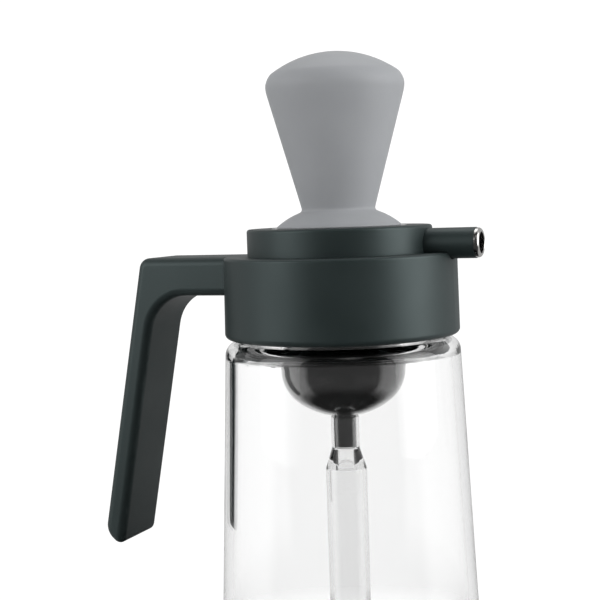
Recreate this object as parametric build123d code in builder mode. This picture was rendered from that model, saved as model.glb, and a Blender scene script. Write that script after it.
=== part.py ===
from build123d import *
import os
from math import asin, cos, degrees, radians, sin, sqrt, tan

# A glass oil bottle. Its collar carries the handle, a pour lid with a spout plugs into the collar, and a
# squeeze-bulb dropper with a measuring tube stands in the lid.
# Millimetres, +Z up. The origin is the centre of the bottle's base on the table.
# The handle points to -X and the spout to +X.

# Clearances
seat_gap = 0.05  # left between a piece and the face it rests on
slide_gap = 0.05  # round a seal, or a piece that slides in a bore
hang_gap = 0.35  # round the dropper cup inside the lid's sleeve
thread_gap = 0.15  # between a lug of the collar and a ridge of the neck
cradle_gap = 0.3  # round the spout where it lies in the collar's rim

# Glass bottle
base_radius = 46.7  # at the table, where the flared wall would meet it
shoulder_radius = 40.3  # where the flared wall would meet the shoulder
shoulder_height = 138.8
glass_wall = 3.3
glass_floor = 5.0
base_corner = 4.5
shoulder_corner = 4.5
inner_base_corner = 9.0
inner_shoulder_corner = 3.0
mould_ring_radius = 33.0  # shallow ring left under the base by the mould
mould_ring_width = 1.2
mould_ring_depth = 0.4
neck_radius = 31.2
neck_height = 17.2
mouth_radius = 28.0
neck_root_corner = 1.5
rim_corner = 0.9

# Thread of the neck: three short ridges, which three lugs in the collar run under
thread_starts = 3
thread_lead = 12.0  # rise of a full turn
ridge_degrees = 96.0
seam_degrees = 108.0  # from +X to the seam of a turned shiny piece, in a gap between two ridges
ridge_height_above_shoulder = 7.2  # middle of a ridge where it begins
ridge_height = 1.4
ridge_root_width = 2.6
ridge_crest_width = 1.2
thread_root = 0.4  # depth to which a ridge or a lug is sunk into its wall
lug_degrees = 16.0
lug_start = 2.0  # from the beginning of a ridge to the beginning of a lug, screwed home
lug_root_width = 2.6
lug_crest_width = 1.4
lug_crest_gap = 0.4  # between a lug's crest and the neck

# Neck gasket
gasket_thickness = 2.0
gasket_inner_radius = 28.6
gasket_outer_radius = 33.2

# Collar
collar_radius = 40.0
collar_draft = 0.4  # by which the wall is wider at the bottom
collar_height = 27.9
collar_wall = 3.0
collar_plate = 2.5
collar_gap = 1.2  # above the glass shoulder
collar_top_corner = 1.0
collar_bottom_corner = 1.9
thread_wall_radius = 33.6
thread_wall = 2.0
thread_wall_lift = 2.0  # of the thread wall's lower edge above the collar's
flange_inner_radius = 28.2
flange_thickness = 2.0
well_radius = 31.2
well_wall = 2.2
cradle_half_width = 7.6
cradle_depth = 3.0

# Handle
arm_height = 13.5
arm_root_radius = 37.05  # where the arm ends inside the collar's wall
handle_width = 25.6
handle_thickness = 8.1
handle_corner_radius = 72.1  # from the bottle's axis to the outer top corner
handle_lean = 10.9  # degrees
handle_drop = 100.6  # from the top of the arm to the end of the outer face
handle_outer_corner = 4.0
handle_arch = 14.5
handle_end_outer_corner = 6.5
handle_end_inner_corner = 2.4
handle_end_slant = 4.6  # by which the end's inner corner lies lower than a square end's would
handle_rounding = 2.8

# Pour lid
lid_radius = 31.75
lid_height = 9.3  # above the collar
lid_plate = 2.0
lid_top_corner = 1.0
spigot_gap = 0.3  # round the lid's spigot in the collar's well
spigot_wall = 2.2
spigot_end_gap = 0.6  # above the collar's flange
sleeve_wall = 2.0
sleeve_length = 13.4  # below the seat of the dropper
seal_groove_height = 2.0
seal_groove_depth = 1.0
lid_groove_lift = 2.2  # of the groove above the spigot's end
seal_rounding = 0.5

# Spout, a tube pressed into the lid's wall, and its steel liner
spout_radius = 5.15
spout_axis_drop = 6.35  # of the spout's axis below the lid's top
spout_reach = 48.3  # from the bottle's axis to the end of the plastic
spout_step = 1.3  # thickness of the step inside the lid's wall that stops the spout
spout_bore_radius = 3.8  # of that step, and of the spout behind its liner
liner_stop_reach = 0.5  # of the shoulder that stops the liner, beyond the lid's edge
liner_radius = 4.1
liner_bore_radius = 3.5
lip_radius = 4.95
lip_length = 1.7
lip_corner = 1.1

# Dropper cup: a straight flank, a rounded corner and a flatter bottom
cup_radius = 21.5
cup_wall = 2.0
cup_depth = 65.2  # from the lid's top to the lowest point of the bottom
cup_corner_radius = 13.5
cup_bottom_radius = 26.5
cup_flange_radius = 23.3
cup_flange_thickness = 1.2
counterbore_gap = 0.3
cup_groove_depth = 0.9
cup_groove_drop = 9.7  # below the lid's top
nozzle_radius = 3.9
nozzle_bore_radius = 3.0
nozzle_length = 10.5

# Measuring tube
tube_radius = 7.1
tube_wall = 1.4
socket_radius = 4.83
socket_top_gap = 0.3  # below the cup's bottom
cone_length = 7.0
nozzle_stop_gap = 0.4  # below the nozzle's end, to the bottom of the socket, and again to the cone
throat_radius = 3.0
tip_clearance = 6.0  # above the bottle's floor
tip_length = 12.0
tip_radius = 4.2
tip_bore_radius = 2.9

# Squeeze bulb
bulb_height = 59.4
bulb_crown_radius = 36.8
bulb_rim_radius = 24.45  # where the cone would meet the crown
bulb_rim_corner = 5.6
bulb_waist_radius = 12.3  # where the cone would meet the skirt
bulb_waist_height = 5.5
bulb_waist_corner = 2.5
skirt_radius = 21.3
skirt_edge = 0.5
skirt_swell = 0.5  # by which the skirt stands out from a straight slope
bulb_wall = 2.6
plug_length = 6.5
plug_wall = 3.0
bulb_throat_radius = 9.2  # of the hollow, at the waist
skirt_underside = 0.4  # of the hollow's knee above the lid, under the skirt

# Heights worked out from the sizes above
rim_height = shoulder_height + neck_height
collar_bottom = shoulder_height + collar_gap
collar_top = collar_bottom + collar_height
gasket_bottom = rim_height + seat_gap
flange_bottom = gasket_bottom + gasket_thickness + seat_gap
flange_top = flange_bottom + flange_thickness
lid_bottom = collar_top + seat_gap
lid_top = collar_top + lid_height
spout_axis_height = lid_top - spout_axis_drop
cup_bottom = lid_top - cup_depth
nozzle_end = cup_bottom - nozzle_length


def wall_radius_at(height):
    """Outer radius of the bottle's flared wall."""
    return base_radius - (base_radius - shoulder_radius) * height / shoulder_height


def thread_rib(surface_radius, side, rib_height, root_width, crest_width, start_degrees, turn_degrees):
    """A short rib that climbs a round wall by the thread's lead, on its side 1 outwards or -1 inwards."""
    root = surface_radius - side * thread_root
    crest = surface_radius + side * rib_height
    with BuildPart() as rib:
        with BuildLine():
            Helix(thread_lead, thread_lead * turn_degrees / 360, surface_radius)
        with BuildSketch(Plane.XZ):
            with BuildLine():
                Polyline(
                    (root, -root_width / 2),
                    (crest, -crest_width / 2),
                    (crest, crest_width / 2),
                    (root, root_width / 2),
                    close=True,
                )
            make_face()
        sweep(is_frenet=True)
    return rib.part.rotate(Axis.Z, start_degrees)


def seal_ring(inner_radius, outer_radius, bottom, height, rounding):
    """A soft ring of rectangular section with a rounded outer lip."""
    with BuildPart() as ring:
        with BuildSketch(Plane.XZ):
            with BuildLine():
                section = FilletPolyline(
                    (inner_radius, bottom),
                    (outer_radius, bottom),
                    (outer_radius, bottom + height),
                    (inner_radius, bottom + height),
                    radius=rounding,
                )
                Line(section @ 1, section @ 0)
            make_face()
        revolve(axis=Axis.Z)
    return ring.part


os.makedirs("parts", exist_ok=True)

# Plane for the outlines of the shiny turned pieces, so that their seams lie at the back
seam_turn = radians(seam_degrees)
seam_plane = Plane(
    (0, 0, 0), x_dir=(cos(seam_turn), sin(seam_turn), 0), z_dir=(sin(seam_turn), -cos(seam_turn), 0)
)

# Glass bottle
inside_top = shoulder_height - glass_wall
inside_base_radius = wall_radius_at(glass_floor) - glass_wall
inside_shoulder_radius = wall_radius_at(inside_top) - glass_wall
ridge_middle = shoulder_height + ridge_height_above_shoulder

neck_ridge = thread_rib(
    neck_radius, 1, ridge_height, ridge_root_width, ridge_crest_width, 0, ridge_degrees
)

with BuildPart() as glass_bottle:
    with BuildSketch(seam_plane):
        with BuildLine():
            outside = FilletPolyline(
                (0, 0),
                (base_radius, 0),
                (shoulder_radius, shoulder_height),
                (neck_radius, shoulder_height),
                (neck_radius, rim_height),
                (0, rim_height),
                radius=[base_corner, shoulder_corner, neck_root_corner, rim_corner],
            )
            Line(outside @ 1, outside @ 0)
        make_face()
    revolve(axis=Axis.Z)
    with BuildSketch(seam_plane):
        with BuildLine():
            inside = FilletPolyline(
                (0, glass_floor),
                (inside_base_radius, glass_floor),
                (inside_shoulder_radius, inside_top),
                (mouth_radius, inside_top),
                (mouth_radius, rim_height + glass_wall),
                (0, rim_height + glass_wall),
                radius=[inner_base_corner, inner_shoulder_corner, glass_wall, 0],
            )
            Line(inside @ 1, inside @ 0)
        make_face()
    revolve(axis=Axis.Z, mode=Mode.SUBTRACT)
    rim_edges = glass_bottle.edges().filter_by(GeomType.CIRCLE).group_by(Axis.Z)[-1]
    fillet(rim_edges.sort_by(SortBy.RADIUS)[0], rim_corner)
    with BuildSketch(Plane.XY):
        Circle(mould_ring_radius + mould_ring_width / 2)
        Circle(mould_ring_radius - mould_ring_width / 2, mode=Mode.SUBTRACT)
    extrude(amount=mould_ring_depth, mode=Mode.SUBTRACT)
    with Locations((0, 0, ridge_middle)):
        with PolarLocations(0, thread_starts):
            add(neck_ridge)
glass_bottle.part.label = "glass_bottle"
export_step(glass_bottle.part, "parts/glass_bottle.step")

# Neck gasket, pressed by the collar on the glass rim
neck_gasket = seal_ring(
    gasket_inner_radius, gasket_outer_radius, gasket_bottom, gasket_thickness, seal_rounding
)
neck_gasket.label = "neck_gasket"
export_step(neck_gasket, "parts/neck_gasket.step")

# Handle of the collar: a level arm, an arch and a grip that leans out
lean = radians(handle_lean)
arm_bottom = collar_top - arm_height
outer_end = (-handle_corner_radius - handle_drop * tan(lean), collar_top - handle_drop)
inner_end = (
    outer_end[0] + handle_thickness * cos(lean) - handle_end_slant * sin(lean),
    outer_end[1] - handle_thickness * sin(lean) - handle_end_slant * cos(lean),
)
arch_corner = (inner_end[0] + (arm_bottom - inner_end[1]) * tan(lean), arm_bottom)

with BuildPart() as handle:
    with BuildSketch(Plane.XZ):
        with BuildLine():
            side = FilletPolyline(
                (-arm_root_radius, collar_top),
                (-handle_corner_radius, collar_top),
                outer_end,
                inner_end,
                arch_corner,
                (-arm_root_radius, arm_bottom),
                radius=[
                    handle_outer_corner,
                    handle_end_outer_corner,
                    handle_end_inner_corner,
                    handle_arch,
                ],
            )
            Line(side @ 1, side @ 0)
        make_face()
    extrude(amount=handle_width / 2, both=True)
    cheek_edges = handle.faces().filter_by(Axis.Y).edges()
    fillet(
        cheek_edges.filter_by(lambda edge: edge.center().X < -arm_root_radius - seat_gap),
        handle_rounding,
    )

# Collar: outer wall, thread wall with its lugs, the well that the lid plugs into, and the spout's cradle
thread_wall_bottom = collar_bottom + thread_wall_lift
plate_bottom = collar_top - collar_plate
lug_offset = (ridge_root_width + lug_crest_width) / 2 + thread_gap
lug_middle = ridge_middle + thread_lead * lug_start / 360 - lug_offset
collar_lug = thread_rib(
    thread_wall_radius,
    -1,
    thread_wall_radius - neck_radius - lug_crest_gap,
    lug_root_width,
    lug_crest_width,
    lug_start,
    lug_degrees,
)

with BuildPart() as collar:
    with BuildSketch(Plane.XZ):
        with BuildLine():
            shell = FilletPolyline(
                (collar_radius - collar_wall, collar_bottom),
                (collar_radius + collar_draft, collar_bottom),
                (collar_radius, collar_top),
                (well_radius, collar_top),
                (well_radius, flange_top),
                (flange_inner_radius, flange_top),
                (flange_inner_radius, flange_bottom),
                (thread_wall_radius, flange_bottom),
                (thread_wall_radius, thread_wall_bottom),
                (thread_wall_radius + thread_wall, thread_wall_bottom),
                (thread_wall_radius + thread_wall, flange_top),
                (well_radius + well_wall, flange_top),
                (well_radius + well_wall, plate_bottom),
                (collar_radius - collar_wall, plate_bottom),
                radius=[collar_bottom_corner, collar_top_corner, seal_rounding] + [0] * 9,
            )
            Line(shell @ 1, shell @ 0)
        make_face()
    revolve(axis=Axis.Z)
    add(handle.part)
    with BuildSketch(Plane.XY.offset(plate_bottom)):
        with Locations((well_radius + well_wall / 2, 0)):
            Rectangle(
                collar_radius - collar_wall / 2 - well_radius - well_wall / 2,
                2 * cradle_half_width,
                align=(Align.MIN, Align.CENTER),
            )
    extrude(amount=-cradle_depth)
    with BuildSketch(Plane.YZ.offset(well_radius - collar_wall)):
        with Locations((0, spout_axis_height)):
            Circle(spout_radius + cradle_gap)
            Rectangle(
                2 * (spout_radius + cradle_gap),
                collar_height,
                align=(Align.CENTER, Align.MIN),
            )
    extrude(amount=collar_radius - well_radius + 2 * collar_wall, mode=Mode.SUBTRACT)
    with Locations((0, 0, lug_middle)):
        with PolarLocations(0, thread_starts):
            add(collar_lug)
collar.part.label = "collar"
export_step(collar.part, "parts/collar.step")

# Pour lid: a hollow disc with a spigot below, an inner sleeve for the dropper and a seat for the spout
spigot_radius = well_radius - spigot_gap
spigot_bottom = flange_top + spigot_end_gap
spigot_inner_radius = spigot_radius - spigot_wall
sleeve_radius = cup_radius + hang_gap
counterbore_radius = cup_flange_radius + counterbore_gap
counterbore_floor = lid_top - cup_flange_thickness - seat_gap
sleeve_bottom = counterbore_floor - sleeve_length
chamber_top = lid_top - lid_plate
lid_groove_bottom = spigot_bottom + lid_groove_lift
spout_seat = spigot_inner_radius + spout_step
liner_stop = lid_radius + liner_stop_reach
liner_start = liner_stop + seat_gap

with BuildPart() as pour_lid:
    with BuildSketch(Plane.XZ):
        with BuildLine():
            section = FilletPolyline(
                (spigot_radius, lid_bottom),
                (lid_radius, lid_bottom),
                (lid_radius, lid_top),
                (counterbore_radius, lid_top),
                (counterbore_radius, counterbore_floor),
                (sleeve_radius, counterbore_floor),
                (sleeve_radius, sleeve_bottom),
                (sleeve_radius + sleeve_wall, sleeve_bottom),
                (sleeve_radius + sleeve_wall, chamber_top),
                (spigot_inner_radius, chamber_top),
                (spigot_inner_radius, spigot_bottom),
                (spigot_radius, spigot_bottom),
                (spigot_radius, lid_groove_bottom),
                (spigot_radius - seal_groove_depth, lid_groove_bottom),
                (spigot_radius - seal_groove_depth, lid_groove_bottom + seal_groove_height),
                (spigot_radius, lid_groove_bottom + seal_groove_height),
                radius=[0, lid_top_corner] + [0] * 12,
            )
            Line(section @ 1, section @ 0)
        make_face()
    revolve(axis=Axis.Z)
    with BuildSketch(Plane.YZ.offset(sleeve_radius + sleeve_wall + slide_gap)):
        with Locations((0, spout_axis_height)):
            Circle(spout_bore_radius)
    extrude(amount=lid_radius - sleeve_radius, mode=Mode.SUBTRACT)
    with BuildSketch(Plane.YZ.offset(spout_seat)):
        with Locations((0, spout_axis_height)):
            Circle(spout_radius + slide_gap)
    extrude(amount=lid_radius - spigot_inner_radius, mode=Mode.SUBTRACT)
pour_lid.part.label = "pour_lid"
export_step(pour_lid.part, "parts/pour_lid.step")

# Lid seal, in the groove of the spigot
lid_seal = seal_ring(
    spigot_radius - seal_groove_depth + slide_gap,
    well_radius - slide_gap,
    lid_groove_bottom + seat_gap,
    seal_groove_height - 2 * seat_gap,
    seal_rounding,
)
lid_seal.label = "lid_seal"
export_step(lid_seal, "parts/lid_seal.step")

# Spout, with a shoulder inside that stops the liner
with BuildPart() as spout:
    with BuildSketch(Plane.XZ):
        with BuildLine():
            Polyline(
                (spout_seat + seat_gap, spout_axis_height + spout_bore_radius),
                (liner_stop, spout_axis_height + spout_bore_radius),
                (liner_stop, spout_axis_height + liner_radius + slide_gap),
                (spout_reach - seat_gap, spout_axis_height + liner_radius + slide_gap),
                (spout_reach - seat_gap, spout_axis_height + spout_radius),
                (spout_seat + seat_gap, spout_axis_height + spout_radius),
                close=True,
            )
        make_face()
    revolve(axis=Axis((0, 0, spout_axis_height), (1, 0, 0)))
spout.part.label = "spout"
export_step(spout.part, "parts/spout.step")

# Spout liner: a steel tube whose lip covers the end of the spout
with BuildPart() as spout_liner:
    with BuildSketch(Plane.XZ):
        with BuildLine():
            section = FilletPolyline(
                (liner_start, spout_axis_height + liner_bore_radius),
                (spout_reach + lip_length, spout_axis_height + liner_bore_radius),
                (spout_reach + lip_length, spout_axis_height + lip_radius),
                (spout_reach, spout_axis_height + lip_radius),
                (spout_reach, spout_axis_height + liner_radius),
                (liner_start, spout_axis_height + liner_radius),
                radius=[lip_corner / 4, lip_corner, 0, 0],
            )
            Line(section @ 1, section @ 0)
        make_face()
    revolve(axis=Axis((0, 0, spout_axis_height), (1, 0, 0)))
spout_liner.part.label = "spout_liner"
export_step(spout_liner.part, "parts/spout_liner.step")

# Dropper cup: its outline is the flank, the corner and the bottom, drawn in by an inset for the inside
bottom_centre = cup_bottom + cup_bottom_radius
corner_centre_radius = cup_radius - cup_corner_radius
centre_distance = cup_bottom_radius - cup_corner_radius
corner_centre = bottom_centre - sqrt(centre_distance**2 - corner_centre_radius**2)
corner_angle = degrees(asin(corner_centre_radius / centre_distance))


def cup_outline(inset, top):
    """Draws the cup's side from its axis to the given height, and returns the two ends of it."""
    bottom = CenterArc(
        (0, bottom_centre), cup_bottom_radius - inset, -90, corner_angle
    )
    corner = CenterArc(
        (corner_centre_radius, corner_centre),
        cup_corner_radius - inset,
        corner_angle - 90,
        90 - corner_angle,
    )
    flank = Line(corner @ 1, (cup_radius - inset, top))
    return bottom @ 0, flank @ 1


cup_groove_top = lid_top - cup_groove_drop
with BuildPart() as dropper_cup:
    with BuildSketch(seam_plane):
        with BuildLine():
            lowest, side_top = cup_outline(0, lid_top)
            Polyline(side_top, (0, lid_top), lowest)
        make_face()
    revolve(axis=Axis.Z)
    with BuildSketch(Plane.XY.offset(lid_top)):
        Circle(cup_flange_radius)
    extrude(amount=-cup_flange_thickness)
    with BuildSketch(Plane.XY.offset(nozzle_end)):
        Circle(nozzle_radius)
    extrude(amount=nozzle_length + cup_wall)
    with BuildSketch(seam_plane):
        with BuildLine():
            lowest, side_top = cup_outline(cup_wall, lid_top)
            Polyline(side_top, (0, lid_top), lowest)
        make_face()
    revolve(axis=Axis.Z, mode=Mode.SUBTRACT)
    with BuildSketch(Plane.XY.offset(nozzle_end)):
        Circle(nozzle_bore_radius)
    extrude(amount=cup_depth / 2, mode=Mode.SUBTRACT)
    with BuildSketch(Plane.XY.offset(cup_groove_top)):
        Circle(cup_radius + hang_gap)
        Circle(cup_radius - cup_groove_depth, mode=Mode.SUBTRACT)
    extrude(amount=-seal_groove_height, mode=Mode.SUBTRACT)
dropper_cup.part.label = "dropper_cup"
export_step(dropper_cup.part, "parts/dropper_cup.step")

# Cup seal, between the cup and the lid's sleeve
cup_seal = seal_ring(
    cup_radius - cup_groove_depth + slide_gap,
    sleeve_radius - slide_gap,
    cup_groove_top - seal_groove_height + seat_gap,
    seal_groove_height - 2 * seat_gap,
    seal_rounding,
)
cup_seal.label = "cup_seal"
export_step(cup_seal, "parts/cup_seal.step")

# Measuring tube: a socket on the nozzle, a cone with a throat, and the straight tube
socket_bore_radius = nozzle_radius + slide_gap
socket_top = cup_bottom - socket_top_gap
socket_floor = nozzle_end - nozzle_stop_gap
cone_top = socket_floor - nozzle_stop_gap
cone_bottom = cone_top - cone_length
tip_end = glass_floor + tip_clearance
tube_bore_radius = tube_radius - tube_wall
with BuildPart() as measuring_tube:
    with BuildSketch(seam_plane):
        with BuildLine():
            Polyline(
                (tip_bore_radius, tip_end),
                (tip_radius, tip_end),
                (tube_radius, tip_end + tip_length),
                (tube_radius, cone_bottom),
                (socket_radius, cone_top),
                (socket_radius, socket_top),
                (socket_bore_radius, socket_top),
                (socket_bore_radius, socket_floor),
                (throat_radius, socket_floor),
                (throat_radius, cone_bottom),
                (tube_bore_radius, cone_bottom),
                (tube_bore_radius, tip_end + tip_length),
                close=True,
            )
        make_face()
    revolve(axis=Axis.Z)
measuring_tube.part.label = "measuring_tube"
export_step(measuring_tube.part, "parts/measuring_tube.step")

# Squeeze bulb: a domed crown on a cone, a skirt that covers the cup's flange, and a plug inside the cup
crown_centre = lid_top + bulb_height - bulb_crown_radius
plug_radius = cup_radius - cup_wall - slide_gap
plug_bottom = lid_top - plug_length


def crown_height_at(radius, inset):
    """Height of the crown's sphere, drawn in by the inset, at a radius from the axis."""
    return crown_centre + sqrt((bulb_crown_radius - inset) ** 2 - radius**2)


rim = (bulb_rim_radius, crown_height_at(bulb_rim_radius, 0))
waist = (bulb_waist_radius, lid_top + bulb_waist_height)
skirt_top = (skirt_radius, lid_top + skirt_edge)
skirt_middle = (
    (waist[0] + skirt_top[0] + skirt_swell) / 2,
    (waist[1] + skirt_top[1]) / 2 + skirt_swell,
)
hollow_rim = (bulb_rim_radius - bulb_wall, crown_height_at(bulb_rim_radius - bulb_wall, bulb_wall))

with BuildPart() as dropper_bulb:
    with BuildSketch(Plane.XZ) as bulb_side:
        with BuildLine():
            crown = RadiusArc((0, crown_height_at(0, 0)), rim, bulb_crown_radius)
            Line(rim, waist)
            ThreePointArc(waist, skirt_middle, skirt_top)
            Polyline(
                skirt_top,
                (skirt_radius, lid_top),
                (plug_radius, lid_top),
                (plug_radius, plug_bottom),
                (0, plug_bottom),
                crown @ 0,
            )
        make_face()
        fillet(bulb_side.vertices().sort_by_distance(rim)[0], bulb_rim_corner)
        fillet(bulb_side.vertices().sort_by_distance(waist)[0], bulb_waist_corner)
    revolve(axis=Axis.Z)
    with BuildSketch(Plane.XZ):
        with BuildLine():
            hollow_crown = RadiusArc(
                (0, crown_height_at(0, bulb_wall)), hollow_rim, bulb_crown_radius - bulb_wall
            )
            Polyline(
                hollow_rim,
                (bulb_throat_radius, lid_top + bulb_waist_height),
                (plug_radius - plug_wall, lid_top + skirt_underside),
                (plug_radius - plug_wall, plug_bottom),
                (0, plug_bottom),
                hollow_crown @ 0,
            )
        make_face()
    revolve(axis=Axis.Z, mode=Mode.SUBTRACT)
dropper_bulb.part.label = "dropper_bulb"
export_step(dropper_bulb.part, "parts/dropper_bulb.step")
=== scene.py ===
# %% [markdown]
# # A glass oil bottle with a squeeze-bulb dropper
# The bottle stands on a table and has a flared clear wall. A dark collar screws on its neck and carries the
# handle. A pour lid with a side spout plugs into the collar, and a grey silicone bulb stands in the lid: it
# draws oil into a clear measuring tube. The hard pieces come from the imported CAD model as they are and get
# their finishes here. The soft silicone pieces are modelled in this script.

from math import asin, cos, hypot, pi, radians, sin

import bpy
from mathutils import Matrix, Vector


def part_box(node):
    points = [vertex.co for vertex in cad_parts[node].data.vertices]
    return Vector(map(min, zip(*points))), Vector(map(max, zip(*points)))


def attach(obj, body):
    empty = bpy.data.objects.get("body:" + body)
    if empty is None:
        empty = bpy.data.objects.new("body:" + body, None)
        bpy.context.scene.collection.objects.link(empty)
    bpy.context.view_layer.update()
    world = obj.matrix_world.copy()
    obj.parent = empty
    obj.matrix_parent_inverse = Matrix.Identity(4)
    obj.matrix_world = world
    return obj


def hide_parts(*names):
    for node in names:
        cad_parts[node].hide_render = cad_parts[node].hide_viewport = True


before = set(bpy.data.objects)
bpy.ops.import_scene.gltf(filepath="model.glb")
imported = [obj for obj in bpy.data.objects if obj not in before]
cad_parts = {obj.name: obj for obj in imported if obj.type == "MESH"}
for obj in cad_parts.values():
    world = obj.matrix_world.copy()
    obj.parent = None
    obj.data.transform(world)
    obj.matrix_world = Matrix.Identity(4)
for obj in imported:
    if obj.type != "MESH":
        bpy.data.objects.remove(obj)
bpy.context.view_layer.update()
MM = 0.001

# %% [markdown]
# ## Camera
# The camera was fitted to the photograph with the collar as the gauge, 80 mm across. It stands 435 mm from
# the bottle's axis and 185 mm above the table, 21 degrees round from the front, and looks a little left and
# down. The picture is also turned by two degrees, which a hand-held camera does.

# %% Stand the camera where the photograph was taken
CAMERA_DISTANCE = 0.4349
CAMERA_HEIGHT = 0.1852
CAMERA_AZIMUTH = radians(21.0)
CAMERA_PAN = radians(-1.873)
CAMERA_TILT = radians(4.311)
CAMERA_ROLL = radians(-1.910)
FOCAL_PIXELS = 1266.0
PICTURE_PIXELS = 600.0
SENSOR_MM = 36.0

lens = bpy.data.cameras.new("photo_lens")
lens.sensor_width = SENSOR_MM
lens.lens = lens.sensor_width * FOCAL_PIXELS / PICTURE_PIXELS
camera = bpy.data.objects.new("photo_camera", lens)
bpy.context.scene.collection.objects.link(camera)
bpy.context.scene.camera = camera
stand = Vector(
    (CAMERA_DISTANCE * sin(CAMERA_AZIMUTH), -CAMERA_DISTANCE * cos(CAMERA_AZIMUTH), CAMERA_HEIGHT)
)
camera.matrix_world = (
    Matrix.Translation(stand)
    @ Matrix.Rotation(CAMERA_AZIMUTH - CAMERA_PAN, 4, "Z")
    @ Matrix.Rotation(pi / 2 - CAMERA_TILT, 4, "X")
    @ Matrix.Rotation(CAMERA_ROLL, 4, "Z")
)
print("camera at", [round(c, 3) for c in camera.location], "with a lens of", round(lens.lens, 1), "mm")

# %% [markdown]
# ## Helpers for graphs of nodes
# Every lamp, sheet and finish below is a small graph of nodes. Colours are written as sRGB hex, as a picture
# editor shows them, and one function turns them to the linear values that the renderer adds up. A second
# function adds a node with its settings and its links, so that each graph reads from top to bottom.


# %% Turn a hex colour to linear, and add one node
def linear(hex_colour):
    """An sRGB hex colour as linear red, green, blue and alpha."""
    shares = [int(hex_colour[i : i + 2], 16) / 255 for i in (1, 3, 5)]
    return [s / 12.92 if s <= 0.04045 else ((s + 0.055) / 1.055) ** 2.4 for s in shares] + [1.0]


def add_node(owner, kind, settings, links=()):
    """Adds a node. Settings and links go by the name or the number of an input, or by a property's name."""
    made = owner.node_tree.nodes.new(kind)
    for key, value in settings.items():
        if isinstance(key, int) or key in made.inputs:
            made.inputs[key].default_value = value
        else:
            setattr(made, key, value)
    for key, socket in dict(links).items():
        owner.node_tree.links.new(socket, made.inputs[key])
    return made


def per_metre(millimetres):
    """The scale of a pattern in Object coordinates whose features are this wide."""
    return 1.0 / (millimetres * MM)


def ranged_noise(owner, noise, limits):
    """Adds a node that spreads the middle of a noise, from 0.3 to 0.7, over the range between two limits."""
    return add_node(
        owner, "ShaderNodeMapRange",
        {"From Min": 0.3, "From Max": 0.7, "To Min": limits[0], "To Max": limits[1]},
        {"Value": noise.outputs[0]},
    )


print("a middle grey is", [round(c, 3) for c in linear("#808080")])

# %% [markdown]
# ## Light
# The photograph was lit by two tall softboxes, one at each side of the bottle, and the right one is the
# stronger. Their soft bands lie half way out on the flanks of each round piece. A wide lamp overhead lightens
# the crown of the bulb and the top of the arm, and a weak one high in front fills the skirt of the bulb. The
# cloth of a softbox glows most in its middle, so each lamp fades out towards its edges.

# %% Hang the softboxes
MIDDLE_OF_BOTTLE = Vector((0, 0, 0.15))


def softbox(name, azimuth, distance, height, width, tall, watts):
    """A soft lamp turned to the bottle's middle. Azimuth is in degrees from the camera, sizes in metres."""
    lamp = bpy.data.lights.new(name, "AREA")
    lamp.shape = "RECTANGLE"
    lamp.size = width
    lamp.size_y = tall
    lamp.energy = watts
    lamp.use_nodes = True
    lamp.node_tree.nodes.clear()
    box = bpy.data.objects.new(name, lamp)
    bpy.context.scene.collection.objects.link(box)
    turn = CAMERA_AZIMUTH + radians(azimuth)
    box.location = (distance * sin(turn), -distance * cos(turn), height)
    to_bottle = MIDDLE_OF_BOTTLE - box.location
    box.rotation_euler = to_bottle.to_track_quat("-Z", "Y").to_euler()
    box.visible_camera = False
    box.visible_transmission = False
    on_cloth = add_node(lamp, "ShaderNodeNewGeometry", {})
    off_middle = add_node(
        lamp, "ShaderNodeVectorMath", {"operation": "DISTANCE", 1: box.location},
        {0: on_cloth.outputs["Position"]},
    )
    glow = add_node(
        lamp, "ShaderNodeMapRange",
        {"interpolation_type": "SMOOTHSTEP", "From Max": tall / 2, "To Min": 1.0, "To Max": 0.0},
        {"Value": off_middle.outputs["Value"]},
    )
    cloth = add_node(lamp, "ShaderNodeEmission", {}, {"Strength": glow.outputs[0]})
    add_node(lamp, "ShaderNodeOutputLight", {}, {"Surface": cloth.outputs[0]})


softbox("softbox_right", azimuth=72, distance=0.75, height=0.35, width=0.70, tall=1.20, watts=14.6)
softbox("softbox_left", azimuth=-62, distance=0.75, height=0.35, width=0.65, tall=1.20, watts=7.6)
softbox("softbox_top", azimuth=180, distance=0.30, height=0.95, width=0.80, tall=0.90, watts=4.4)
softbox("softbox_front", azimuth=8, distance=0.80, height=1.05, width=0.60, tall=0.60, watts=1.4)

# %% [markdown]
# Rays of four kinds see the surroundings, and each kind sees them at its own level. The camera sees white. A
# look through the glass sees nearly white. A mirrored ray sees the room: dark behind the camera, light at the
# sides and the back. Of each of these two levels, the first value is for the outer pieces and the second for
# what shines inside the glass. The room's edge is where dark turns to light, as the cosine of the angle from
# the camera's direction. A ray that gathers light for a dull surface finds the soft fill that the room's
# walls give. The renderer's Light Path node tells the kinds apart.

# %% Pick out the rays, and set the world
WHITE = 1.0
THROUGH_GLASS = 0.83
MIRRORED_FRONT = (0.05, 0.16)
MIRRORED_ROOM = (0.5, 0.95)
ROOM_FILL = 0.57
ROOM_EDGE = (0.25, 0.41)


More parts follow.
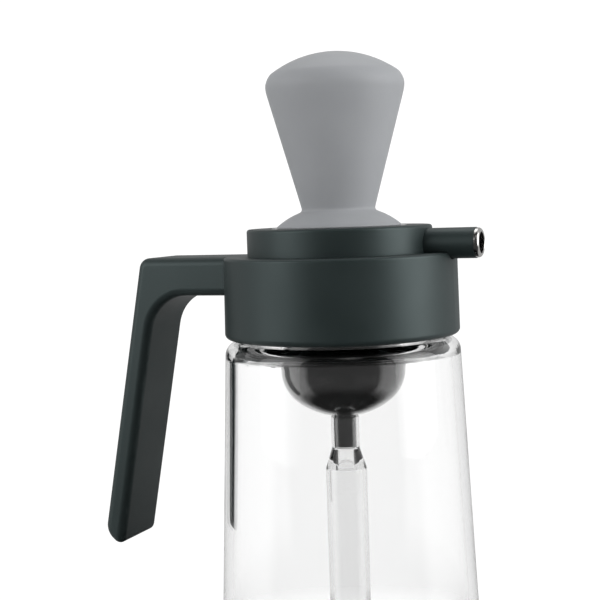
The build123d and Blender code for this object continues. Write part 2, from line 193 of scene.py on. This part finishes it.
def sort_rays(owner):
    """Adds the nodes that tell the rays apart. Gives the Light Path node and sockets for two of the kinds."""
    rays = add_node(owner, "ShaderNodeLightPath", {})
    gathering = add_node(
        owner, "ShaderNodeMath", {"operation": "GREATER_THAN", 1: 0.5}, {0: rays.outputs["Diffuse Depth"]}
    )
    bounces = add_node(
        owner, "ShaderNodeMath", {"operation": "ADD"},
        {0: rays.outputs["Diffuse Depth"], 1: rays.outputs["Glossy Depth"]},
    )
    bounced = add_node(
        owner, "ShaderNodeMath", {"operation": "GREATER_THAN", 1: 0.5}, {0: bounces.outputs[0]}
    )
    through = add_node(
        owner, "ShaderNodeMath", {"operation": "GREATER_THAN"},
        {0: rays.outputs["Is Transmission Ray"], 1: bounced.outputs[0]},
    )
    return rays, through.outputs[0], gathering.outputs[0]


def mirrored_level(owner, place, rays):
    """The brightness of the room for mirrored rays: black in front of the bottle, white round the rest."""
    level_place = add_node(
        owner, "ShaderNodeVectorMath", {"operation": "MULTIPLY", 1: (1.0, 1.0, 0.0)}, {0: place}
    )
    heading = add_node(owner, "ShaderNodeVectorMath", {"operation": "NORMALIZE"}, {0: level_place.outputs[0]})
    to_front = add_node(
        owner, "ShaderNodeVectorMath",
        {"operation": "DOT_PRODUCT", 1: (sin(CAMERA_AZIMUTH), -cos(CAMERA_AZIMUTH), 0.0)},
        {0: heading.outputs[0]},
    )
    front_level, room_level = (
        add_node(
            owner, "ShaderNodeMapRange", {"To Min": outside, "To Max": in_glass},
            {"Value": rays.outputs["Is Transmission Ray"]},
        )
        for outside, in_glass in (MIRRORED_FRONT, MIRRORED_ROOM)
    )
    level = add_node(
        owner, "ShaderNodeMapRange", {"From Min": ROOM_EDGE[0], "From Max": ROOM_EDGE[1]},
        {
            "Value": to_front.outputs["Value"],
            "To Min": room_level.outputs[0],
            "To Max": front_level.outputs[0],
        },
    )
    return level.outputs[0]


world = bpy.data.worlds.new("studio")
world.use_nodes = True
world.node_tree.nodes.clear()
bpy.context.scene.world = world
world_rays, world_through_glass, world_gathering = sort_rays(world)
direction = add_node(world, "ShaderNodeTexCoord", {})
world_level = mirrored_level(world, direction.outputs["Generated"], world_rays)
for which, brightness in (
    (world_gathering, ROOM_FILL),
    (world_through_glass, THROUGH_GLASS),
    (world_rays.outputs["Is Camera Ray"], WHITE),
):
    chosen = add_node(
        world, "ShaderNodeMapRange", {"To Max": brightness}, {"Value": which, "To Min": world_level}
    )
    world_level = chosen.outputs[0]
world_light = add_node(
    world, "ShaderNodeBackground", {"Color": linear("#ffffff")}, {"Strength": world_level}
)
add_node(world, "ShaderNodeOutputWorld", {}, {"Surface": world_light.outputs[0]})
print("mirrored room:", MIRRORED_FRONT, "in front,", MIRRORED_ROOM, "elsewhere; fill:", ROOM_FILL)

# %% [markdown]
# The floor is a pale sheet. Near the bottle it takes the bottle's shadow, and further out it fades to pure
# white, so no horizon shows. Clear glass casts a light shadow, so a look through the base finds more glow
# there. Behind the bottle stands a white backdrop. Looks see a sheet white. Mirrored rays see it as they see
# the room, but dark near the bottle. Rays that gather light find it grey, because in the room little light
# came back up from the table. The shadow's room is the distance over which the paint fades to white, and the
# glow near the bottle is given for looks past the glass and through it.

# %% Lay the floor and stand the backdrop
SHADOW_ROOM = (0.09, 0.17)
NEAR_GLOW = (0.3, 0.75)
NEAR_PAINT = "#e4e4e4"
FAR_GLOW = 1.08 * WHITE
GATHERED_PAINT = "#b4b4b4"
FLOOR_SIZE = 6.0
BACKDROP_DISTANCE = 1.6
BACKDROP_MIDDLE = 0.9


def stage_sheet(name, size, place, turn):
    """A sheet of the stage, in its place and with its paint."""
    bpy.ops.object.select_all(action="DESELECT")
    bpy.ops.mesh.primitive_plane_add(size=size, location=place, rotation=turn)
    bpy.ops.object.transform_apply(location=True, rotation=True, scale=False)
    sheet = bpy.context.object
    sheet.name = name
    paint = bpy.data.materials.new(name + "_paint")
    paint.use_nodes = True
    paint.node_tree.nodes.clear()
    rays, through_glass, gathering = sort_rays(paint)
    looks = add_node(
        paint, "ShaderNodeMath", {"operation": "MAXIMUM"},
        {0: rays.outputs["Is Camera Ray"], 1: through_glass},
    )
    place_on_sheet = add_node(paint, "ShaderNodeTexCoord", {})
    reach = add_node(
        paint, "ShaderNodeVectorMath", {"operation": "LENGTH"}, {0: place_on_sheet.outputs["Object"]}
    )
    far = add_node(
        paint, "ShaderNodeMapRange", {"From Min": SHADOW_ROOM[0], "From Max": SHADOW_ROOM[1]},
        {"Value": reach.outputs["Value"]},
    )
    far_white = add_node(paint, "ShaderNodeEmission", {"Color": linear("#ffffff"), "Strength": FAR_GLOW})
    near_level = add_node(
        paint, "ShaderNodeMapRange", {"To Min": NEAR_GLOW[0], "To Max": NEAR_GLOW[1]},
        {"Value": through_glass},
    )
    near_glow = add_node(
        paint, "ShaderNodeEmission", {"Color": linear("#ffffff")}, {"Strength": near_level.outputs[0]}
    )
    near_white = add_node(paint, "ShaderNodeBsdfDiffuse", {"Color": linear(NEAR_PAINT)})
    near = add_node(paint, "ShaderNodeAddShader", {}, {0: near_glow.outputs[0], 1: near_white.outputs[0]})
    seen = add_node(
        paint, "ShaderNodeMixShader", {}, {0: far.outputs[0], 1: near.outputs[0], 2: far_white.outputs[0]}
    )
    mirror_level = add_node(
        paint, "ShaderNodeMath", {"operation": "MULTIPLY"},
        {0: mirrored_level(paint, place_on_sheet.outputs["Object"], rays), 1: far.outputs[0]},
    )
    mirror_image = add_node(
        paint, "ShaderNodeEmission", {"Color": linear("#ffffff")}, {"Strength": mirror_level.outputs[0]}
    )
    dim_white = add_node(paint, "ShaderNodeBsdfDiffuse", {"Color": linear(GATHERED_PAINT)})
    bounced = add_node(
        paint, "ShaderNodeMixShader", {}, {0: gathering, 1: mirror_image.outputs[0], 2: dim_white.outputs[0]}
    )
    both = add_node(
        paint, "ShaderNodeMixShader", {}, {0: looks.outputs[0], 1: bounced.outputs[0], 2: seen.outputs[0]}
    )
    add_node(paint, "ShaderNodeOutputMaterial", {}, {"Surface": both.outputs[0]})
    sheet.data.materials.append(paint)
    return sheet


floor = stage_sheet("floor", FLOOR_SIZE, (0, 0, 0), (0, 0, 0))
behind = Vector(
    (-BACKDROP_DISTANCE * sin(CAMERA_AZIMUTH), BACKDROP_DISTANCE * cos(CAMERA_AZIMUTH), BACKDROP_MIDDLE)
)
backdrop = stage_sheet("backdrop", 2 * BACKDROP_MIDDLE, behind, (pi / 2, 0, CAMERA_AZIMUTH))
print("stage:", floor.name, backdrop.name)

# %% [markdown]
# ## Hard finishes
# The bottle is soda-lime glass, pressed and fire-polished. Such glass is clear and smooth, with a faint
# unevenness left by the mould that makes straight lines waver. A long way through it looks grey-green, so
# the edges of the wall are darker than its middle: an absorbing volume gives that.

# %% Soda-lime glass
GLASS_WAVES_MM = 22

glass = bpy.data.materials.new("soda_lime_glass_fire_polished")
glass.use_nodes = True
glass.node_tree.nodes.clear()
glass_place = add_node(glass, "ShaderNodeTexCoord", {})
glass_unevenness = add_node(
    glass, "ShaderNodeTexNoise", {"Scale": per_metre(GLASS_WAVES_MM), "Detail": 1.5, "Roughness": 0.4},
    {"Vector": glass_place.outputs["Object"]},
)
glass_bump = add_node(
    glass, "ShaderNodeBump", {"Strength": 1.0, "Distance": 0.05 * MM}, {"Height": glass_unevenness.outputs[0]}
)
glass_skin = add_node(
    glass, "ShaderNodeBsdfPrincipled",
    {
        "Base Color": linear("#ffffff"),
        "Roughness": 0.0,
        "IOR": 1.52,
        "Transmission Weight": 1.0,
    },
    {"Normal": glass_bump.outputs[0]},
)
glass_body = add_node(glass, "ShaderNodeVolumeAbsorption", {"Color": linear("#c3c7c6"), "Density": 9.0})
add_node(
    glass, "ShaderNodeOutputMaterial", {}, {"Surface": glass_skin.outputs[0], "Volume": glass_body.outputs[0]}
)
print("glass waves every", GLASS_WAVES_MM, "mm")

# %% [markdown]
# The collar, its handle and the pour lid are injection-moulded ABS, tinted a dark green-grey. The mould was
# bead-blasted very finely, so the skin is satin: it spreads a softbox's reflection into a wide soft band.
# The grain is about a tenth of a millimetre and is drawn at 0.35 mm, because a finer one would not show.

# %% Satin charcoal ABS
CHARCOAL_GRAIN_MM = 0.35

charcoal = bpy.data.materials.new("abs_satin_charcoal")
charcoal.use_nodes = True
charcoal.node_tree.nodes.clear()
charcoal_place = add_node(charcoal, "ShaderNodeTexCoord", {})
charcoal_grain = add_node(
    charcoal, "ShaderNodeTexNoise", {"Scale": per_metre(CHARCOAL_GRAIN_MM), "Detail": 2.0},
    {"Vector": charcoal_place.outputs["Object"]},
)
charcoal_flow = add_node(
    charcoal, "ShaderNodeTexNoise", {"Scale": per_metre(14), "Detail": 3.0},
    {"Vector": charcoal_place.outputs["Object"]},
)
charcoal_tint = add_node(
    charcoal, "ShaderNodeMix",
    {"data_type": "RGBA", 6: linear("#1f2727"), 7: linear("#242c2c")},
    {0: charcoal_flow.outputs[0]},
)
charcoal_gloss = ranged_noise(charcoal, charcoal_flow, (0.42, 0.48))
charcoal_bump = add_node(
    charcoal, "ShaderNodeBump", {"Strength": 1.0, "Distance": 0.006 * MM},
    {"Height": charcoal_grain.outputs[0]},
)
charcoal_skin = add_node(
    charcoal, "ShaderNodeBsdfPrincipled", {"IOR": 1.53, "Specular Tint": linear("#eaffff")},
    {
        "Base Color": charcoal_tint.outputs[2],
        "Roughness": charcoal_gloss.outputs[0],
        "Normal": charcoal_bump.outputs[0],
    },
)
add_node(charcoal, "ShaderNodeOutputMaterial", {}, {"Surface": charcoal_skin.outputs[0]})
print("charcoal grain is", CHARCOAL_GRAIN_MM, "mm wide")

# %% [markdown]
# The dropper's cup is the same kind of plastic from a polished mould, nearly black and glossy. It mirrors the
# two softboxes as clear light flanks, even through the glass.

# %% Polished black plastic
BLACK_ROUGHNESS = (0.12, 0.17)

gloss_black = bpy.data.materials.new("abs_polished_black")
gloss_black.use_nodes = True
gloss_black.node_tree.nodes.clear()
black_place = add_node(gloss_black, "ShaderNodeTexCoord", {})
black_flow = add_node(
    gloss_black, "ShaderNodeTexNoise", {"Scale": per_metre(9), "Detail": 2.0},
    {"Vector": black_place.outputs["Object"]},
)
black_tint = add_node(
    gloss_black, "ShaderNodeMix",
    {"data_type": "RGBA", 6: linear("#111313"), 7: linear("#161918")},
    {0: black_flow.outputs[0]},
)
black_gloss = ranged_noise(gloss_black, black_flow, BLACK_ROUGHNESS)
black_skin = add_node(
    gloss_black, "ShaderNodeBsdfPrincipled",
    {"IOR": 1.54, "Specular IOR Level": 1.0, "Coat Weight": 1.0, "Coat Roughness": 0.04, "Coat IOR": 1.6},
    {"Base Color": black_tint.outputs[2], "Roughness": black_gloss.outputs[0]},
)
add_node(gloss_black, "ShaderNodeOutputMaterial", {}, {"Surface": black_skin.outputs[0]})
print("cup roughness:", BLACK_ROUGHNESS)

# %% [markdown]
# The measuring tube is clear styrene plastic, polished in its mould. It bends light a little more than glass
# does, and looks grey where it is thick.

# %% Clear plastic
CLEAR_WAVES_MM = 6

clear_plastic = bpy.data.materials.new("san_clear_polished")
clear_plastic.use_nodes = True
clear_plastic.node_tree.nodes.clear()
clear_place = add_node(clear_plastic, "ShaderNodeTexCoord", {})
clear_flow = add_node(
    clear_plastic, "ShaderNodeTexNoise", {"Scale": per_metre(CLEAR_WAVES_MM), "Detail": 1.0},
    {"Vector": clear_place.outputs["Object"]},
)
clear_bump = add_node(
    clear_plastic, "ShaderNodeBump", {"Strength": 1.0, "Distance": 0.008 * MM},
    {"Height": clear_flow.outputs[0]},
)
clear_skin = add_node(
    clear_plastic, "ShaderNodeBsdfPrincipled",
    {
        "Base Color": linear("#fefefe"),
        "Roughness": 0.03,
        "IOR": 1.57,
        "Transmission Weight": 1.0,
    },
    {"Normal": clear_bump.outputs[0]},
)
clear_body = add_node(
    clear_plastic, "ShaderNodeVolumeAbsorption", {"Color": linear("#c0c1bf"), "Density": 22.0}
)
add_node(
    clear_plastic, "ShaderNodeOutputMaterial", {},
    {"Surface": clear_skin.outputs[0], "Volume": clear_body.outputs[0]},
)
print("clear plastic waves every", CLEAR_WAVES_MM, "mm")

# %% [markdown]
# The spout's liner is a drawn tube of stainless steel with a rolled and polished lip. Drawing leaves hair
# lines along the tube, so the noise is stretched along its axis, X.

# %% Drawn stainless steel
STEEL_LINES_MM = 0.3

steel = bpy.data.materials.new("stainless_steel_drawn")
steel.use_nodes = True
steel.node_tree.nodes.clear()
steel_place = add_node(steel, "ShaderNodeTexCoord", {})
steel_stretch = add_node(
    steel, "ShaderNodeMapping", {"Scale": (0.04, 1.0, 1.0)}, {"Vector": steel_place.outputs["Object"]}
)
steel_lines = add_node(
    steel, "ShaderNodeTexNoise", {"Scale": per_metre(STEEL_LINES_MM), "Detail": 2.0},
    {"Vector": steel_stretch.outputs[0]},
)
steel_gloss = ranged_noise(steel, steel_lines, (0.1, 0.22))
steel_bump = add_node(
    steel, "ShaderNodeBump", {"Strength": 1.0, "Distance": 0.002 * MM}, {"Height": steel_lines.outputs[0]}
)
steel_skin = add_node(
    steel, "ShaderNodeBsdfPrincipled", {"Base Color": linear("#cfcecc"), "Metallic": 1.0},
    {"Roughness": steel_gloss.outputs[0], "Normal": steel_bump.outputs[0]},
)
add_node(steel, "ShaderNodeOutputMaterial", {}, {"Surface": steel_skin.outputs[0]})
print("steel hair lines every", STEEL_LINES_MM, "mm")

# %% [markdown]
# ## Soft finishes
# The bulb is solid-coloured silicone rubber with a matt skin from a sand-blasted mould. Silicone lets a
# little light in under its skin, which softens the shading, and fine dust gives it a faint sheen.

# %% Matt grey silicone
SILICONE_GRAIN_MM = 0.4

silicone = bpy.data.materials.new("silicone_matt_grey")
silicone.use_nodes = True
silicone.node_tree.nodes.clear()
silicone_place = add_node(silicone, "ShaderNodeTexCoord", {})
silicone_grain = add_node(
    silicone, "ShaderNodeTexNoise", {"Scale": per_metre(SILICONE_GRAIN_MM), "Detail": 3.0},
    {"Vector": silicone_place.outputs["Object"]},
)
silicone_cloud = add_node(
    silicone, "ShaderNodeTexNoise", {"Scale": per_metre(11), "Detail": 4.0},
    {"Vector": silicone_place.outputs["Object"]},
)
silicone_tint = add_node(
    silicone, "ShaderNodeMix",
    {"data_type": "RGBA", 6: linear("#939598"), 7: linear("#9b9da0")},
    {0: silicone_cloud.outputs[0]},
)
silicone_gloss = ranged_noise(silicone, silicone_cloud, (0.5, 0.6))
silicone_bump = add_node(
    silicone, "ShaderNodeBump", {"Strength": 1.0, "Distance": 0.012 * MM},
    {"Height": silicone_grain.outputs[0]},
)
silicone_skin = add_node(
    silicone, "ShaderNodeBsdfPrincipled",
    {
        "IOR": 1.42,
        "Subsurface Weight": 0.15,
        "Subsurface Radius": (1.0, 0.95, 0.95),
        "Subsurface Scale": 1.2 * MM,
        "Sheen Weight": 0.08,
        "Sheen Roughness": 0.5,
    },
    {
        "Base Color": silicone_tint.outputs[2],
        "Roughness": silicone_gloss.outputs[0],
        "Normal": silicone_bump.outputs[0],
    },
)
add_node(silicone, "ShaderNodeOutputMaterial", {}, {"Surface": silicone_skin.outputs[0]})
print("silicone grain is", SILICONE_GRAIN_MM, "mm wide")

# %% [markdown]
# The seals are unpigmented silicone. It is milky: light goes in, scatters and comes out again close by.

# %% Milky silicone
MILKY_ROUGHNESS = (0.35, 0.5)

milky = bpy.data.materials.new("silicone_milky")
milky.use_nodes = True
milky.node_tree.nodes.clear()
milky_place = add_node(milky, "ShaderNodeTexCoord", {})
milky_cloud = add_node(
    milky, "ShaderNodeTexNoise", {"Scale": per_metre(3), "Detail": 2.0},
    {"Vector": milky_place.outputs["Object"]},
)
milky_gloss = ranged_noise(milky, milky_cloud, MILKY_ROUGHNESS)
milky_skin = add_node(
    milky, "ShaderNodeBsdfPrincipled",
    {
        "Base Color": linear("#dedfdb"),
        "IOR": 1.42,
        "Subsurface Weight": 0.6,
        "Subsurface Radius": (1.0, 1.0, 0.95),
        "Subsurface Scale": 1.5 * MM,
    },
    {"Roughness": milky_gloss.outputs[0]},
)
add_node(milky, "ShaderNodeOutputMaterial", {}, {"Surface": milky_skin.outputs[0]})
print("milky silicone roughness:", MILKY_ROUGHNESS)

# %% [markdown]
# ## Dress the CAD pieces
# The rigid CAD pieces have their true shapes already, so each only gets its finish.

# %% Give the hard pieces their finishes
FINISHES = {
    "glass_bottle": glass,
    "collar": charcoal,
    "pour_lid": charcoal,
    "spout": charcoal,
    "spout_liner": steel,
    "dropper_cup": gloss_black,
    "measuring_tube": clear_plastic,
}
for node_name, finish in FINISHES.items():
    for material_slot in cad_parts[node_name].material_slots:
        material_slot.material = finish
    print(node_name, "is", finish.name)

# %% [markdown]
# ## Turned silicone pieces
# Every silicone piece is round, so each is an outline turned about the bottle's axis. By hand one would put
# down a single point, extrude it along the outline and spin the line round. The function below does that:
# it starts from a plane with all but one corner deleted, and closes the seam and the poles afterwards.


# %% Turn an outline about the axis
def turned_piece(name, outline, steps):
    """A closed piece of revolution. The outline is a list of (radius, height) in millimetres."""
    bpy.ops.object.select_all(action="DESELECT")
    bpy.ops.mesh.primitive_plane_add(size=MM)
    piece = bpy.context.object
    piece.name = name
    bpy.ops.object.mode_set(mode="EDIT")
    bpy.ops.mesh.select_mode(type="VERT")
    bpy.ops.mesh.merge(type="CENTER")
    places = [Vector((r * MM, 0, h * MM)) for r, h in outline]
    bpy.ops.transform.translate(value=places[0])
    for here, there in zip(places, places[1:]):
        bpy.ops.mesh.extrude_region_move(TRANSFORM_OT_translate={"value": there - here})
    bpy.ops.mesh.select_all(action="SELECT")
    bpy.ops.mesh.spin(steps=steps, angle=2 * pi, center=(0, 0, 0), axis=(0, 0, 1))
    bpy.ops.mesh.select_all(action="SELECT")
    bpy.ops.mesh.remove_doubles(threshold=0.001 * MM)
    bpy.ops.mesh.normals_make_consistent(inside=False)
    bpy.ops.object.mode_set(mode="OBJECT")
    bpy.ops.object.shade_smooth()
    return piece


def round_loops(piece, corners, segments):
    """Bevels the loops at the given (radius, height, width) in millimetres."""
    for radius, height, width in corners:
        bpy.ops.object.mode_set(mode="EDIT")
        bpy.ops.mesh.select_mode(type="VERT")
        bpy.ops.mesh.select_all(action="DESELECT")
        bpy.ops.object.mode_set(mode="OBJECT")
        for v in piece.data.vertices:
            v.select = hypot(hypot(v.co.x, v.co.y) - radius * MM, v.co.z - height * MM) < 0.02 * MM
        bpy.ops.object.mode_set(mode="EDIT")
        bpy.ops.mesh.select_mode(type="EDGE")
        bpy.ops.mesh.bevel(offset=width * MM, segments=segments, affect="EDGES")
        bpy.ops.object.mode_set(mode="OBJECT")


def smooth_by_subdivision(piece, levels):
    """Applies a subdivision surface."""
    smoother = piece.modifiers.new("smoother", "SUBSURF")
    smoother.levels = levels
    smoother.render_levels = levels
    bpy.ops.object.modifier_apply(modifier=smoother.name)


# %% [markdown]
# The bulb is a cone with a domed crown, on a skirt that covers the rim of the cup. Its heights start from the
# lid's top, 177.2 mm above the table. It is hollow, and a plug below the skirt holds it in the cup. The
# outline runs down the outside from the crown and back up the hollow. The rim, the waist and the skirt's
# edge are drawn sharp, and then bevelled round.

# %% Model the bulb
BULB_STEPS = 64
LID_TOP = 177.2
BULB_HEIGHT = 59.4
CROWN_RADIUS = 36.8
CROWN_CENTRE = LID_TOP + BULB_HEIGHT - CROWN_RADIUS
CROWN_STEPS = 7
RIM_RADIUS = 24.6
RIM_ROUNDING = 3.5
WALL = 2.6
WAIST = (12.3, LID_TOP + 5.5)
WAIST_ROUNDING = 1.1
HOLLOW_WAIST = (9.2, LID_TOP + 5.5)
HOLLOW_FOOT = (16.45, LID_TOP + 0.4)
SKIRT_RADIUS = 21.3
SKIRT_EDGE = 0.5
PLUG_RADIUS = 19.45
PLUG_BORE_RADIUS = 16.45
PLUG_END = LID_TOP - 6.5
PLUG_ROUNDING = 0.4


def crown_point(share, rim_radius, crown_radius):
    """A point of the crown's arc, from its top at 0 to the rim at 1."""
    turn = share * asin(rim_radius / crown_radius)
    return crown_radius * sin(turn), CROWN_CENTRE + crown_radius * cos(turn)


outer_crown = [crown_point(i / CROWN_STEPS, RIM_RADIUS, CROWN_RADIUS) for i in range(CROWN_STEPS + 1)]
inner_crown = [
    crown_point(i / CROWN_STEPS, RIM_RADIUS - WALL, CROWN_RADIUS - WALL) for i in range(CROWN_STEPS + 1)
]
rim = outer_crown[-1]
hollow_rim = inner_crown[-1]


def along(start, end, shares):
    """Points between two points, at the given shares of the way."""
    return [tuple(a + (b - a) * share for a, b in zip(start, end)) for share in shares]


bulb_outline = (
    outer_crown
    + along(rim, WAIST, (0.12, 0.3, 0.5, 0.7, 0.88))
    + [WAIST, (14.75, LID_TOP + 4.62), (17.05, LID_TOP + 3.5), (19.25, LID_TOP + 2.12)]
    + [(SKIRT_RADIUS, LID_TOP + SKIRT_EDGE), (SKIRT_RADIUS, LID_TOP), (PLUG_RADIUS, LID_TOP)]
    + [(PLUG_RADIUS, PLUG_END), (PLUG_BORE_RADIUS, PLUG_END), HOLLOW_FOOT, HOLLOW_WAIST]
    + along(HOLLOW_WAIST, hollow_rim, (0.3, 0.6, 0.85))
    + inner_crown[::-1]
)
bulb = turned_piece("squeeze_bulb", bulb_outline, BULB_STEPS)
round_loops(bulb, [(*rim, RIM_ROUNDING), (*WAIST, WAIST_ROUNDING)], 3)
round_loops(bulb, [(SKIRT_RADIUS, LID_TOP + SKIRT_EDGE, 0.22)], 3)
round_loops(bulb, [(SKIRT_RADIUS, LID_TOP, 0.12)], 2)
round_loops(bulb, [(PLUG_RADIUS, PLUG_END, PLUG_ROUNDING), (PLUG_BORE_RADIUS, PLUG_END, PLUG_ROUNDING)], 2)
smooth_by_subdivision(bulb, 1)
bulb.data.materials.append(silicone)
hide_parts("dropper_bulb")
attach(bulb, "dropper")
print("bulb has", len(bulb.data.polygons), "faces and is", round(bulb.dimensions.z / MM, 1), "mm tall")

# %% [markdown]
# The three seals are rings of milky silicone. Each has a flat inner side that sits in its groove and a
# rounded bead outside that touches the wall it seals against.

# %% Model the seals
SEAL_STEPS = 96


def seal(name, node_name, body, inner_radius, rounding):
    """A ring in the place of its CAD node, with its edges rounded. The sizes are in millimetres."""
    low, high = (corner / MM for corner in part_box(node_name))
    outline = [(inner_radius, low.z), (high.x, low.z), (high.x, high.z), (inner_radius, high.z)]
    ring = turned_piece(name, outline + outline[:1], SEAL_STEPS)
    round_loops(ring, [(*corner, rounding) for corner in outline], 3)
    ring.data.materials.append(milky)
    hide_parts(node_name)
    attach(ring, body)
    print(name, "has", len(ring.data.polygons), "faces and is", round(ring.dimensions.x / MM, 1), "mm across")


seal("gasket_ring", "neck_gasket", "gasket", inner_radius=28.6, rounding=0.5)
seal("lid_seal_ring", "lid_seal", "lid", inner_radius=29.95, rounding=0.45)
seal("cup_seal_ring", "cup_seal", "dropper", inner_radius=20.65, rounding=0.4)

# %% [markdown]
# ## Finish
# The picture is developed with the plain Standard view.

# %% Develop the picture with the Standard view
bpy.context.scene.view_settings.view_transform = "Standard"
